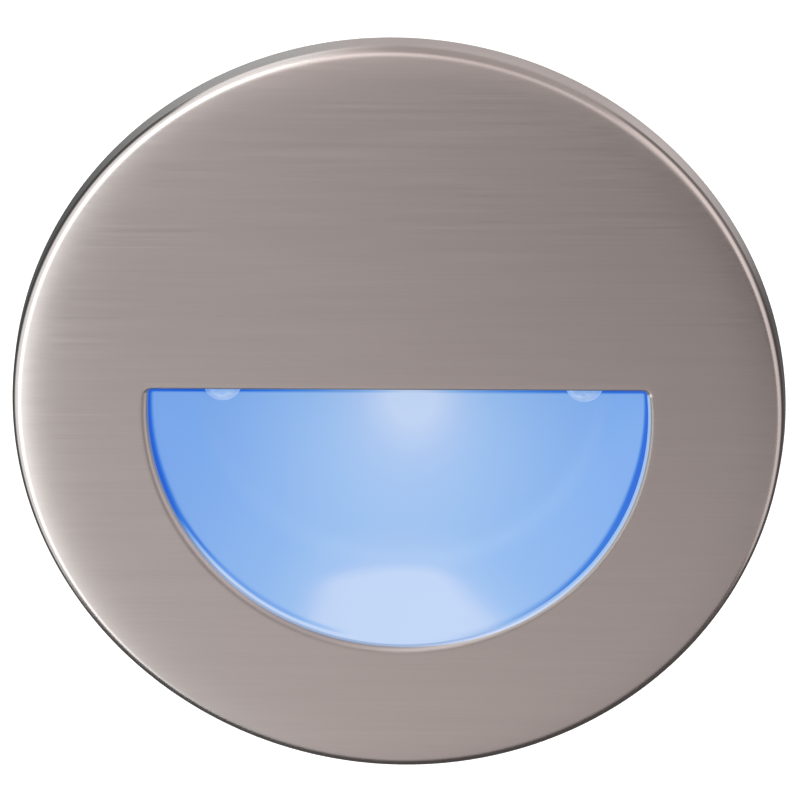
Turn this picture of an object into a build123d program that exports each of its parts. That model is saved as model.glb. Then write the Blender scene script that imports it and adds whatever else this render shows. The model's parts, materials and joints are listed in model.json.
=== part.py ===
"""Round recessed step light, in millimetres.

A brushed metal plate with a half-moon opening stands in front of a white
reflector bowl. Light-emitting diodes hide above the opening's straight edge
and shine down through a window in the bowl's ceiling. Behind the bowl a round
can, which fits a hole in the wall, holds the driver, the mains terminals and
the cable gland. Two screws through the back of the bowl hold the front
assembly to the can, and four screws hold the can's flange to the wall.

Frame: the origin is the plate's centre in the plane of the wall, +Z is up,
the room is on the -Y side and the wall is on the +Y side. Depth in the
comments and names means Y.
"""

import os
from math import cos, pi, radians, sin

from build123d import *

os.makedirs("parts", exist_ok=True)

# ---------------------------------------------------------------- driving dimensions

# front plate
plate_depth = 5.4  # from the rim's rear edge to the face
plate_skin = 1.3
plate_draft = 0.1  # the face's edge is this much nearer the centre than the rim
plate_edge_radius = 1.6
opening_radius = 41.1
opening_drop = 0.8  # the opening's arc is centred this far below the plate's centre
opening_chord = 3.4  # height of the opening's straight edge above the plate's centre
opening_corner = 0.8
opening_rounding = 1.2

# studs and nuts that hold the plate to the bowl
stud_count = 6
first_stud_angle = 30.0
stud_radius = 1.25
stud_sunk = 0.7
stud_past_nut = 0.6
nut_flats = 5.0
nut_height = 2.0
nut_clearance = 0.2

# layers between the plate and the wall
foam_width = 2.4  # of the wall gasket where it meets the plate
bowl_gasket_thickness = 0.6
bowl_flange_thickness = 1.6
can_seal_thickness = 0.7
can_seal_width = 2.8
can_flange_thickness = 1.9
seal_margin = 0.6

# reflector bowl
bowl_wall = 1.0
bowl_lip_step = 0.3  # the bowl's lip stands back this far from the opening's lowest point
bowl_back_depth = 12.0
bowl_back_radius = 34.0
bowl_corner_radius = 4.5
ceiling_height = 9.0
ceiling_wall = 1.4

# screws that hold the bowl to the can
trim_screw_x = 29.8
trim_screw_z = -1.7
trim_screw_radius = 1.75
trim_screw_length = 14.0
trim_head_radius = 3.2
trim_head_height = 2.1
trim_seal_thickness = 0.5

# can
can_wall = 1.5
can_back_wall = 2.0
can_corner_radius = 4.0
can_boss_radius = 4.2
wall_screw_count = 4
first_wall_screw_angle = 45.0
wall_screw_hole_radius = 2.2
wall_screw_land = 1.6  # metal left outside each wall screw's hole
flange_margin = 0.9

# window in the bowl's ceiling
aperture_length = 38.0
aperture_width = 6.6
aperture_depth = 5.0
window_border = 1.8
window_thickness = 2.0
window_gasket_thickness = 0.6
fence_wall = 1.0
fence_height = 2.2

# lamp board and its diodes
lamp_board_width = 16.0
lamp_board_thickness = 1.6
led_count = 6
led_pitch = 5.2
led_length = 3.5
led_width = 2.8
led_height = 0.8
dome_radius = 1.15
dome_height = 0.9
dome_gap = 0.5  # air between the domes and the window
lamp_screw_inset = 5.8
lamp_screw_radius = 1.25
lamp_head_radius = 2.2
lamp_head_height = 1.3
lamp_screw_length = 4.6
lamp_plug_length = 9.0
lamp_plug_width = 4.0
lamp_plug_height = 3.6
lamp_plug_inset = 0.4

# heat sink
thermal_pad_thickness = 0.5
sink_length = 64.0
sink_base_thickness = 3.0
fin_end_gap = 1.3
fin_height = 12.0
fin_thickness = 1.2
fin_count = 5
sink_screw_inset = 3.0
sink_screw_radius = 1.5
sink_screw_length = 9.0
sink_head_radius = 2.7
sink_head_height = 1.8
sink_boss_radius = 3.0

# driver board
driver_height = 28.0
driver_centre_z = -20.0
driver_thickness = 1.6
driver_corner_radius = 2.0
standoff_height = 4.0
standoff_radius = 2.5
insulator_thickness = 0.4
insulator_margin = 0.5
driver_screw_inset = 3.5
driver_screw_radius = 1.25
driver_screw_length = 4.6
driver_head_radius = 2.2
driver_head_height = 1.5

# driver parts, with their places on the board measured from its centre
core_width = 16.0
core_height = 15.0
core_depth = 5.0
core_leg = 3.0
core_centre_leg = 4.6
core_x = -2.0
core_z = 0.0
winding_gap = 0.3
winding_bulge = 3.0  # how far the winding stands out in front of and behind the core
mains_capacitor_radius = 4.0
mains_capacitor_height = 12.0
mains_capacitor_z = -7.0
lamp_capacitor_radius = 3.15
lamp_capacitor_height = 11.0
lamp_capacitor_z = -6.0
capacitor_edge = 0.5
rectifier_length = 8.0
rectifier_width = 6.4
rectifier_height = 3.2
rectifier_z = -9.0
chip_length = 5.0
chip_width = 4.0
chip_height = 1.6
chip_z = 2.0
fuse_radius = 2.0
fuse_length = 11.0
fuse_z = 0.5
plug_width = 12.0
plug_height = 8.0
plug_depth = 7.0
plug_edge_gap = 1.0
plug_pitch = 5.0
lamp_lead_pitch = 3.0
board_part_gap = 0.5
core_plug_gap = 0.8

# mains terminals
pole_count = 3
pole_pitch = 9.0
block_end = 5.0
block_height = 14.0
block_depth = 12.0
block_front_gap = 3.1  # air between the heat sink and the terminal block
block_centre_x = 17.0
block_centre_z = 23.0
block_pad_height = 3.0
block_pad_radius = 3.0
sleeve_radius = 2.6
sleeve_bore = 1.8
sleeve_length = 12.0
clamp_screw_radius = 1.5
clamp_screw_offset = 3.4
clamp_screw_sunk = 1.5
block_screw_radius = 1.25
block_screw_length = 12.5
block_head_radius = 2.1
block_head_height = 1.5
block_well_depth = 3.0

# earth point
earth_x = 40.0
earth_z = -2.0
earth_boss_radius = 3.5
earth_tag_radius = 3.2
earth_tag_thickness = 0.8
earth_barrel_length = 5.0
earth_barrel_wall = 0.6
earth_tag_overlap = 1.0  # height over which the tag's tongue is inside its barrel
earth_screw_radius = 1.75
earth_screw_length = 8.0
earth_head_radius = 3.0
earth_head_height = 2.0

# cable gland
gland_x = -16.0
gland_z = 24.0
gland_thread_radius = 8.0
gland_bore_radius = 5.4
gland_flats = 20.0
gland_collar = 5.0
gland_thread_inside = 7.5
gland_thread_outside = 7.0
gland_washer_thickness = 1.0
gland_locknut_thickness = 4.5
gland_cap_length = 12.0
gland_cap_opening = 4.4
gland_cap_rounding = 2.0
cable_radius = 3.2

# leads
lead_radius = 0.9
lamp_lead_radius = 0.75
lead_bend_radius = 3.0
lamp_lead_bend_radius = 6.0
lead_in_terminal = 3.0

# small clearances
thread_clearance = 0.05
hole_clearance = 0.2
fit_clearance = 0.2
recess_width = 0.75  # arm width of a cross recess
recess_depth_share = 0.55  # share of a screw head's height
recess_span_share = 1.1  # share of a screw head's radius
head_rounding_share = 0.6  # share of a screw head's height
hole_runout = 0.5  # a threaded hole is this much deeper than its screw
blind_floor = 0.3
part_chamfer = 0.25
moulded_rounding = 0.5
lead_depth_share = 0.6  # share of a plug's length that its leads go in
slot_depth = 1.0

# ---------------------------------------------------------------- derived places

layers = (
    plate_skin
    + bowl_gasket_thickness
    + bowl_flange_thickness
    + can_seal_thickness
    + can_flange_thickness
)
face_y = -layers
skin_rear_y = face_y + plate_skin
rim_rear_y = face_y + plate_depth
bowl_front_y = skin_rear_y + bowl_gasket_thickness
bowl_flange_rear_y = bowl_front_y + bowl_flange_thickness
can_front_y = -can_flange_thickness

bowl_lip_radius = opening_radius + opening_drop + bowl_lip_step
bowl_rear_y = bowl_back_depth + bowl_wall
ceiling_top = ceiling_height + ceiling_wall
stud_circle_radius = bowl_lip_radius + bowl_wall + nut_clearance + nut_flats / 2
can_inner_radius = stud_circle_radius + nut_flats / 2 + nut_clearance
can_outer_radius = can_inner_radius + can_wall
can_seal_inner = can_inner_radius + seal_margin
can_seal_outer = can_seal_inner + can_seal_width
bowl_flange_radius = can_seal_outer + seal_margin
wall_screw_circle_radius = bowl_flange_radius + flange_margin + wall_screw_hole_radius
can_flange_radius = wall_screw_circle_radius + wall_screw_hole_radius + wall_screw_land
foam_inner_radius = can_flange_radius + fit_clearance
plate_face_inner_radius = foam_inner_radius + foam_width
plate_radius = plate_face_inner_radius + plate_skin + plate_draft
nut_front_y = bowl_flange_rear_y
nut_rear_y = nut_front_y + nut_height

window_length = aperture_length + 2 * window_border
window_width = aperture_width + 2 * window_border
window_top = ceiling_top + window_gasket_thickness + window_thickness
led_top = window_top + dome_gap + dome_height + led_height
lamp_board_top = led_top + lamp_board_thickness
sink_bottom = lamp_board_top + thermal_pad_thickness
sink_top = sink_bottom + sink_base_thickness
sink_screw_x = sink_length / 2 - sink_screw_inset
fin_length = 2 * (sink_screw_x - sink_head_radius - fin_end_gap)
lamp_board_length = 2 * (sink_screw_x - sink_boss_radius - fit_clearance)
lamp_screw_x = lamp_board_length / 2 - lamp_screw_inset
fence_rear_y = aperture_depth + window_width / 2 + fit_clearance + fence_wall
lamp_plug_front_y = fence_rear_y + fit_clearance
lamp_board_rear_y = lamp_plug_front_y + lamp_plug_width + lamp_plug_inset
lamp_board_y = lamp_board_rear_y - lamp_board_width / 2
lamp_plug_y = lamp_plug_front_y + lamp_plug_width / 2
lamp_plug_bottom = led_top - lamp_plug_height

block_front_y = lamp_board_rear_y + block_front_gap
block_rear_y = block_front_y + block_depth
can_back_y = block_rear_y + block_pad_height
can_body_depth = can_back_y + can_back_wall

trim_head_y = bowl_back_depth - trim_seal_thickness
driver_rear_y = can_back_y - standoff_height
driver_front_y = driver_rear_y - driver_thickness
driver_top_z = driver_centre_z + driver_height / 2
driver_screw_x = (
    core_width / 2 - core_x + core_plug_gap + plug_width + board_part_gap + driver_head_radius
)
driver_length = 2 * (driver_screw_x + driver_screw_inset)
insulator_length = driver_length - 2 * (driver_screw_inset + standoff_radius + insulator_margin)
driver_screw_rise = driver_height / 2 - driver_screw_inset
mains_plug_x = driver_screw_x - driver_head_radius - board_part_gap - plug_width / 2
lamp_lead_x = -mains_plug_x
mains_capacitor_x = driver_screw_x - driver_head_radius - board_part_gap - mains_capacitor_radius
rectifier_x = mains_capacitor_x - mains_capacitor_radius - board_part_gap - rectifier_length / 2
plug_centre_z = driver_top_z - plug_edge_gap - plug_height / 2
plug_top_z = plug_centre_z + plug_height / 2
plug_lead_y = driver_front_y - plug_depth / 2

block_length = (pole_count - 1) * pole_pitch + 2 * block_end
sleeve_y = block_rear_y - block_depth / 2
sleeve_bottom_z = block_centre_z - sleeve_length / 2
pole_x = [block_centre_x + (i - (pole_count - 1) / 2) * pole_pitch for i in range(pole_count)]
block_screw_x = [x + pole_pitch / 2 for x in pole_x[:-1]]
clamp_front_y = block_front_y + clamp_screw_sunk
earth_tag_rear_y = sleeve_y + earth_tag_thickness / 2
earth_tag_front_y = earth_tag_rear_y - earth_tag_thickness
earth_barrel_bottom = earth_z + earth_boss_radius + fit_clearance
earth_barrel_top = earth_barrel_bottom + earth_barrel_length

gland_washer_rear_y = can_body_depth + gland_washer_thickness
gland_collar_rear_y = gland_washer_rear_y + gland_collar
gland_inner_end_y = can_body_depth - gland_thread_inside
gland_outer_end_y = gland_collar_rear_y + gland_thread_outside
gland_cap_rear_y = gland_collar_rear_y + gland_cap_length

# ---------------------------------------------------------------- helpers


def facing_room(y):
    """Plane parallel to the wall at depth y: local x is X, local y is Z, its normal is -Y."""
    return Plane.XZ.offset(-y)


def toward_room(x, y, z):
    """Place for a piece made along +Z that points to the room instead."""
    return Location(Plane(origin=(x, y, z), x_dir=(1, 0, 0), z_dir=(0, -1, 0)))


def half_moon(radius, drop, chord):
    """Circle a drop below the axis, cut level at the height of the chord, with small rounded corners."""
    with BuildSketch(mode=Mode.PRIVATE) as moon:
        with Locations((0, -drop)):
            Circle(radius)
        with Locations((0, chord)):
            Rectangle(3 * radius, 2 * radius, align=(Align.CENTER, Align.MAX), mode=Mode.INTERSECT)
        fillet(moon.vertices(), opening_corner)
    return moon.sketch


def pan_screw(shank_radius, length, head_radius, head_height):
    """Cross-recessed pan-head screw along Z, with the underside of its head at the origin."""
    with BuildPart(mode=Mode.PRIVATE) as screw:
        Cylinder(head_radius, head_height, align=(Align.CENTER, Align.CENTER, Align.MIN))
        fillet(screw.edges().sort_by(Axis.Z)[-1], head_height * head_rounding_share)
        with BuildSketch(Plane.XY.offset(head_height)):
            Rectangle(head_radius * recess_span_share, recess_width)
            Rectangle(recess_width, head_radius * recess_span_share)
        extrude(amount=-head_height * recess_depth_share, mode=Mode.SUBTRACT)
        Cylinder(shank_radius, length, align=(Align.CENTER, Align.CENTER, Align.MAX))
    return screw.part


def on_circle(radius, count, first_angle):
    """Points, as x and z pairs, spaced evenly round the light's axis."""
    angles = [radians(first_angle) + 2 * pi * i / count for i in range(count)]
    return [(radius * cos(a), radius * sin(a)) for a in angles]


def save(piece, name):
    """Label a finished piece and write it to its own file."""
    piece.part.label = name
    export_step(piece.part, f"parts/{name}.step")


stud_points = on_circle(stud_circle_radius, stud_count, first_stud_angle)
wall_screw_points = on_circle(wall_screw_circle_radius, wall_screw_count, first_wall_screw_angle)
trim_screw_points = [(-trim_screw_x, trim_screw_z), (trim_screw_x, trim_screw_z)]
driver_screw_points = [
    (side * driver_screw_x, driver_centre_z + end * driver_screw_rise) for side in (-1, 1) for end in (-1, 1)
]

# ---------------------------------------------------------------- front plate

with BuildPart() as face_plate:
    with BuildSketch(Plane.XY):
        with BuildLine():
            Polyline(
                (0, face_y),
                (plate_radius - plate_draft, face_y),
                (plate_radius, rim_rear_y),
                (plate_radius - plate_skin, rim_rear_y),
                (plate_face_inner_radius, skin_rear_y),
                (0, skin_rear_y),
                close=True,
            )
        make_face()
    revolve(axis=Axis.Y)
    fillet(face_plate.faces().sort_by(Axis.Y)[0].outer_wire().edges(), plate_edge_radius)
    with BuildSketch(facing_room(skin_rear_y)):
        add(half_moon(opening_radius, opening_drop, opening_chord))
    extrude(amount=plate_skin, mode=Mode.SUBTRACT)
    fillet(face_plate.faces().sort_by(Axis.Y)[0].inner_wires()[0].edges(), opening_rounding)
    with BuildSketch(facing_room(skin_rear_y)):
        with Locations(*stud_points):
            Circle(stud_radius)
    extrude(amount=stud_sunk, mode=Mode.SUBTRACT)
save(face_plate, "face_plate")

with BuildPart() as plate_studs:
    with BuildSketch(facing_room(nut_rear_y + stud_past_nut)):
        with Locations(*stud_points):
            Circle(stud_radius)
    extrude(amount=nut_rear_y + stud_past_nut - skin_rear_y + stud_sunk)
save(plate_studs, "plate_studs")

with BuildPart() as stud_nuts:
    with BuildSketch(facing_room(nut_rear_y)):
        with PolarLocations(stud_circle_radius, stud_count, start_angle=first_stud_angle):
            RegularPolygon(nut_flats / 2, 6, major_radius=False, rotation=30)
            Circle(stud_radius + thread_clearance, mode=Mode.SUBTRACT)
    extrude(amount=nut_height)
save(stud_nuts, "stud_nuts")

with BuildPart() as wall_gasket:
    with BuildSketch(Plane.XY):
        with BuildLine():
            Polyline(
                (foam_inner_radius, skin_rear_y),
                (plate_face_inner_radius, skin_rear_y),
                (plate_radius - plate_skin, rim_rear_y),
                (plate_radius - plate_skin, 0),
                (foam_inner_radius, 0),
                close=True,
            )
        make_face()
    revolve(axis=Axis.Y)
save(wall_gasket, "wall_gasket")

with BuildPart() as bowl_gasket:
    with BuildSketch(facing_room(bowl_front_y)):
        Circle(can_seal_outer)
        add(half_moon(bowl_lip_radius + seal_margin, 0, ceiling_height + seal_margin), mode=Mode.SUBTRACT)
        with Locations(*stud_points):
            Circle(stud_radius + hole_clearance, mode=Mode.SUBTRACT)
    extrude(amount=bowl_gasket_thickness)
save(bowl_gasket, "bowl_gasket")

# ---------------------------------------------------------------- reflector bowl

with BuildPart() as bowl_hollow:
    with BuildSketch(Plane.XY):
        with BuildLine() as hollow_line:
            Polyline(
                (0, bowl_front_y),
                (bowl_lip_radius, bowl_front_y),
                (bowl_back_radius, bowl_back_depth),
                (0, bowl_back_depth),
                close=True,
            )
        make_face()
        fillet(
            hollow_line.vertices().group_by(Axis.Y)[-1].sort_by(Axis.X)[-1],
            bowl_corner_radius,
        )
    revolve(axis=Axis.Y)
    with Locations((0, 0, ceiling_height)):
        Box(
            3 * bowl_lip_radius,
            3 * bowl_back_depth,
            3 * bowl_lip_radius,
            align=(Align.CENTER, Align.CENTER, Align.MAX),
            mode=Mode.INTERSECT,
        )

with BuildPart() as reflector_bowl:
    with BuildSketch(Plane.XY):
        with BuildLine() as bowl_line:
            Polyline(
                (0, bowl_front_y),
                (bowl_lip_radius + bowl_wall, bowl_front_y),
                (bowl_back_radius + bowl_wall, bowl_rear_y),
                (0, bowl_rear_y),
                close=True,
            )
        make_face()
        fillet(
            bowl_line.vertices().group_by(Axis.Y)[-1].sort_by(Axis.X)[-1],
            bowl_corner_radius + bowl_wall,
        )
    revolve(axis=Axis.Y)
    with Locations((0, 0, ceiling_top)):
        Box(
            3 * bowl_lip_radius,
            3 * bowl_rear_y,
            3 * bowl_lip_radius,
            align=(Align.CENTER, Align.CENTER, Align.MAX),
            mode=Mode.INTERSECT,
        )
    with BuildSketch(facing_room(bowl_flange_rear_y)):
        Circle(bowl_flange_radius)
    extrude(amount=bowl_flange_thickness)
    # fence that keeps the window in place, and the two bosses under the heat sink
    with BuildSketch(Plane.XY.offset(ceiling_top)):
        with Locations((0, aperture_depth)):
            Rectangle(
                window_length + 2 * (fit_clearance + fence_wall),
                window_width + 2 * (fit_clearance + fence_wall),
            )
            Rectangle(
                window_length + 2 * fit_clearance,
                window_width + 2 * fit_clearance,
                mode=Mode.SUBTRACT,
            )
    extrude(amount=fence_height)
    with BuildSketch(Plane.XY.offset(ceiling_top)):
        with Locations((-sink_screw_x, lamp_board_y), (sink_screw_x, lamp_board_y)):
            Circle(sink_boss_radius)
    extrude(amount=sink_bottom - ceiling_top)
    add(bowl_hollow.part, mode=Mode.SUBTRACT)
    with BuildSketch(Plane.XY.offset(ceiling_height)):
        with Locations((0, aperture_depth)):
            Rectangle(aperture_length, aperture_width)
    extrude(amount=ceiling_wall, mode=Mode.SUBTRACT)
    with BuildSketch(Plane.XY.offset(sink_bottom)):
        with Locations((-sink_screw_x, lamp_board_y), (sink_screw_x, lamp_board_y)):
            Circle(sink_screw_radius + thread_clearance)
    extrude(amount=ceiling_top - sink_bottom, mode=Mode.SUBTRACT)
    # level seats for the two screw heads, and the screws' holes
    with BuildSketch(facing_room(bowl_back_depth)):
        with Locations(*trim_screw_points):
            Circle(trim_head_radius + fit_clearance)
    extrude(amount=bowl_corner_radius, mode=Mode.SUBTRACT)
    with BuildSketch(facing_room(bowl_rear_y)):
        with Locations(*trim_screw_points):
            Circle(trim_screw_radius + hole_clearance)
    extrude(amount=bowl_wall, mode=Mode.SUBTRACT)
    with BuildSketch(facing_room(bowl_flange_rear_y)):
        with Locations(*stud_points):
            Circle(stud_radius + hole_clearance)
    extrude(amount=bowl_flange_thickness, mode=Mode.SUBTRACT)
save(reflector_bowl, "reflector_bowl")

with BuildPart() as trim_screws:
    with Locations(*[toward_room(x, trim_head_y, z) for x, z in trim_screw_points]):
        add(pan_screw(trim_screw_radius, trim_screw_length, trim_head_radius, trim_head_height))
save(trim_screws, "trim_screws")

with BuildPart() as trim_screw_seals:
    with BuildSketch(facing_room(bowl_back_depth)):
        with Locations(*trim_screw_points):
            Circle(trim_head_radius - fit_clearance)
            Circle(trim_screw_radius + thread_clearance, mode=Mode.SUBTRACT)
    extrude(amount=trim_seal_thickness)
save(trim_screw_seals, "trim_screw_seals")

# ---------------------------------------------------------------- lamp: window, board, diodes, heat sink

with BuildPart() as window_gasket:
    with BuildSketch(Plane.XY.offset(ceiling_top)):
        with Locations((0, aperture_depth)):
            Rectangle(window_length, window_width)
            Rectangle(aperture_length, aperture_width, mode=Mode.SUBTRACT)
    extrude(amount=window_gasket_thickness)
save(window_gasket, "window_gasket")

with BuildPart() as lamp_window:
    with BuildSketch(Plane.XY.offset(ceiling_top + window_gasket_thickness)):
        with Locations((0, aperture_depth)):
            Rectangle(window_length, window_width)
    extrude(amount=window_thickness)
    chamfer(lamp_window.edges().group_by(Axis.Z)[-1], part_chamfer)
save(lamp_window, "lamp_window")

led_x = [(i - (led_count - 1) / 2) * led_pitch for i in range(led_count)]
lamp_screw_points = [(-lamp_screw_x, aperture_depth), (lamp_screw_x, aperture_depth)]

with BuildPart() as lamp_board:
    with BuildSketch(Plane.XY.offset(led_top)):
        with Locations((0, lamp_board_y)):
            RectangleRounded(lamp_board_length, lamp_board_width, moulded_rounding)
        with Locations(*lamp_screw_points):
            Circle(lamp_screw_radius + hole_clearance, mode=Mode.SUBTRACT)
    extrude(amount=lamp_board_thickness)
save(lamp_board, "lamp_board")

with BuildPart() as led_packages:
    with Locations(*[(x, aperture_depth, led_top) for x in led_x]):
        Box(led_length, led_width, led_height, align=(Align.CENTER, Align.CENTER, Align.MAX))
    chamfer(led_packages.edges().filter_by(Axis.Z), part_chamfer)
save(led_packages, "led_packages")

dome_sphere_radius = (dome_radius**2 + dome_height**2) / (2 * dome_height)
with BuildPart() as led_domes:
    with Locations(*[(x, aperture_depth, led_top - led_height) for x in led_x]):
        Cylinder(dome_radius, dome_height, align=(Align.CENTER, Align.CENTER, Align.MAX))
    with Locations(
        *[(x, aperture_depth, led_top - led_height - dome_height + dome_sphere_radius) for x in led_x]
    ):
        Sphere(dome_sphere_radius, mode=Mode.INTERSECT)
save(led_domes, "led_domes")

with BuildPart() as lamp_screws:
    with Locations(*[(x, y, led_top) for x, y in lamp_screw_points]):
        add(
            pan_screw(lamp_screw_radius, lamp_screw_length, lamp_head_radius, lamp_head_height),
            rotation=(180, 0, 0),
        )
save(lamp_screws, "lamp_screws")

with BuildPart() as thermal_pad:
    with BuildSketch(Plane.XY.offset(lamp_board_top)):
        with Locations((0, lamp_board_y)):
            Rectangle(lamp_board_length, lamp_board_width)
        with Locations(*lamp_screw_points):
            Circle(lamp_screw_radius + hole_clearance, mode=Mode.SUBTRACT)
    extrude(amount=thermal_pad_thickness)
save(thermal_pad, "thermal_pad")

fin_pitch = (lamp_board_width - fin_thickness) / (fin_count - 1)
with BuildPart() as heat_sink:
    with BuildSketch(Plane.XY.offset(sink_bottom)):
        with Locations((0, lamp_board_y)):
            Rectangle(sink_length, lamp_board_width)
        with Locations((-sink_screw_x, lamp_board_y), (sink_screw_x, lamp_board_y)):
            Circle(sink_screw_radius + hole_clearance, mode=Mode.SUBTRACT)
    extrude(amount=sink_base_thickness)
    with BuildSketch(Plane.XY.offset(sink_top)):
        with Locations((0, lamp_board_y)):
            with GridLocations(0, fin_pitch, 1, fin_count):
                Rectangle(fin_length, fin_thickness)
    extrude(amount=fin_height)
    with BuildSketch(Plane.XY.offset(sink_bottom)):
        with Locations(*lamp_screw_points):
            Circle(lamp_screw_radius + thread_clearance)
    extrude(amount=sink_base_thickness - blind_floor, mode=Mode.SUBTRACT)
save(heat_sink, "heat_sink")

with BuildPart() as heat_sink_screws:
    with Locations(*[(side * sink_screw_x, lamp_board_y, sink_top) for side in (-1, 1)]):
        add(pan_screw(sink_screw_radius, sink_screw_length, sink_head_radius, sink_head_height))
save(heat_sink_screws, "heat_sink_screws")

lamp_lead_points_x = [lamp_lead_x + side * lamp_lead_pitch / 2 for side in (-1, 1)]
lamp_lead_z = led_top - lamp_plug_height / 2
with BuildPart() as lamp_plug:
    with Locations((lamp_lead_x, lamp_plug_y, lamp_plug_bottom)):
        Box(
            lamp_plug_length,
            lamp_plug_width,
            lamp_plug_height,
            align=(Align.CENTER, Align.CENTER, Align.MIN),
        )
    fillet(lamp_plug.edges().filter_by(Axis.Y), moulded_rounding)
    with BuildSketch(facing_room(lamp_plug_y + lamp_plug_width / 2)):
        with Locations(*[(x, lamp_lead_z) for x in lamp_lead_points_x]):
            Circle(lamp_lead_radius + thread_clearance)
    extrude(amount=lamp_plug_width * lead_depth_share, mode=Mode.SUBTRACT)
save(lamp_plug, "lamp_plug")

# ---------------------------------------------------------------- can

with BuildPart() as housing_can:
    with BuildSketch(Plane.XY):
        with BuildLine():
            Polyline(
                (0, 0),
                (0, can_body_depth),
                (can_outer_radius, can_body_depth),
                (can_outer_radius, 0),
                (can_flange_radius, 0),
                (can_flange_radius, can_front_y),
                (0, can_front_y),
                close=True,
            )
        make_face()
    revolve(axis=Axis.Y)
    fillet(housing_can.edges().sort_by(Axis.Y)[-1], can_corner_radius)
    with BuildSketch(facing_room(can_back_y)):
        Circle(can_inner_radius)
    extrude(amount=can_back_y - can_front_y, mode=Mode.SUBTRACT)
    fillet(
        housing_can.edges().filter_by_position(Axis.Y, can_back_y - 0.01, can_back_y + 0.01),
        can_corner_radius - can_wall / 2,
    )
    # bosses: front assembly, driver, terminal block and earth point
    with BuildSketch(facing_room(can_back_y)):
        with Locations(*trim_screw_points):
            Circle(can_boss_radius)
    extrude(amount=can_back_y - bowl_rear_y)
    with BuildSketch(facing_room(can_back_y)):
        with Locations(*driver_screw_points):
            Circle(standoff_radius)
    extrude(amount=standoff_height)
    with BuildSketch(facing_room(can_back_y)):
        with Locations(*[(x, block_centre_z) for x in block_screw_x]):
            Circle(block_pad_radius)
    extrude(amount=block_pad_height)
    with BuildSketch(facing_room(can_back_y)):
        with Locations((earth_x, earth_z)):
            Circle(earth_boss_radius)
    extrude(amount=can_back_y - earth_tag_rear_y)
    # threaded holes in the bosses, none of which goes through the back
    with BuildSketch(facing_room(trim_head_y + trim_screw_length + hole_runout)):
        with Locations(*trim_screw_points):
            Circle(trim_screw_radius + thread_clearance)
    extrude(amount=trim_head_y + trim_screw_length + hole_runout - bowl_rear_y, mode=Mode.SUBTRACT)
    with BuildSketch(facing_room(driver_front_y + driver_screw_length + hole_runout)):
        with Locations(*driver_screw_points):
            Circle(driver_screw_radius + thread_clearance)
    extrude(amount=driver_screw_length + hole_runout - driver_thickness, mode=Mode.SUBTRACT)
    with BuildSketch(facing_room(block_front_y + block_well_depth + block_screw_length + blind_floor)):
        with Locations(*[(x, block_centre_z) for x in block_screw_x]):
            Circle(block_screw_radius + thread_clearance)
    extrude(
        amount=block_front_y + block_well_depth + block_screw_length + blind_floor - block_rear_y,
        mode=Mode.SUBTRACT,
    )
    with BuildSketch(facing_room(earth_tag_front_y + earth_screw_length + hole_runout)):
        with Locations((earth_x, earth_z)):
            Circle(earth_screw_radius + thread_clearance)
    extrude(amount=earth_screw_length + hole_runout - earth_tag_thickness, mode=Mode.SUBTRACT)
    # holes for the wall screws and the cable gland
    with BuildSketch(facing_room(0)):
        with Locations(*wall_screw_points):
            Circle(wall_screw_hole_radius)
    extrude(amount=can_flange_thickness, mode=Mode.SUBTRACT)
    with BuildSketch(facing_room(can_body_depth)):
        with Locations((gland_x, gland_z)):
            Circle(gland_thread_radius + thread_clearance)
    extrude(amount=can_back_wall, mode=Mode.SUBTRACT)
save(housing_can, "housing_can")

with BuildPart() as can_seal:
    with BuildSketch(facing_room(can_front_y)):
        Circle(can_seal_outer)
        Circle(can_seal_inner, mode=Mode.SUBTRACT)
    extrude(amount=can_seal_thickness)
save(can_seal, "can_seal")

# ---------------------------------------------------------------- driver

with BuildPart() as driver_insulator:
    with BuildSketch(facing_room(can_back_y)):
        with Locations((0, driver_centre_z)):
            RectangleRounded(insulator_length, driver_height - 2 * insulator_margin, driver_corner_radius)
    extrude(amount=insulator_thickness)
save(driver_insulator, "driver_insulator")

with BuildPart() as driver_board:
    with BuildSketch(facing_room(driver_rear_y)):
        with Locations((0, driver_centre_z)):
            RectangleRounded(driver_length, driver_height, driver_corner_radius)
        with Locations(*driver_screw_points):
            Circle(driver_screw_radius + hole_clearance, mode=Mode.SUBTRACT)
    extrude(amount=driver_thickness)
save(driver_board, "driver_board")

with BuildPart() as driver_screws:
    with Locations(*[toward_room(x, driver_front_y, z) for x, z in driver_screw_points]):
        add(pan_screw(driver_screw_radius, driver_screw_length, driver_head_radius, driver_head_height))
save(driver_screws, "driver_screws")

# the core is two yokes, one above the other, joined by three legs, and the coil is round the middle one
core_window = (core_width - 2 * core_leg - core_centre_leg) / 2
core_window_x = (core_centre_leg + core_window) / 2
with BuildPart() as transformer_core:
    with BuildSketch(facing_room(driver_front_y - winding_bulge)):
        with Locations((core_x, driver_centre_z + core_z)):
            Rectangle(core_width, core_height)
            with Locations((-core_window_x, 0), (core_window_x, 0)):
                Rectangle(core_window, core_height - 2 * core_leg, mode=Mode.SUBTRACT)
    extrude(amount=core_depth)
save(transformer_core, "transformer_core")

with BuildPart() as transformer_winding:
    with BuildSketch(Plane.XY.offset(driver_centre_z + core_z)):
        with Locations((core_x, driver_front_y - winding_bulge - core_depth / 2)):
            RectangleRounded(
                core_width - 2 * (core_leg + winding_gap), core_depth + 2 * winding_bulge, winding_bulge / 2
            )
            Rectangle(
                core_centre_leg + 2 * thread_clearance,
                core_depth + 2 * thread_clearance,
                mode=Mode.SUBTRACT,
            )
    extrude(amount=core_height / 2 - core_leg - winding_gap, both=True)
save(transformer_winding, "transformer_winding")


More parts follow.
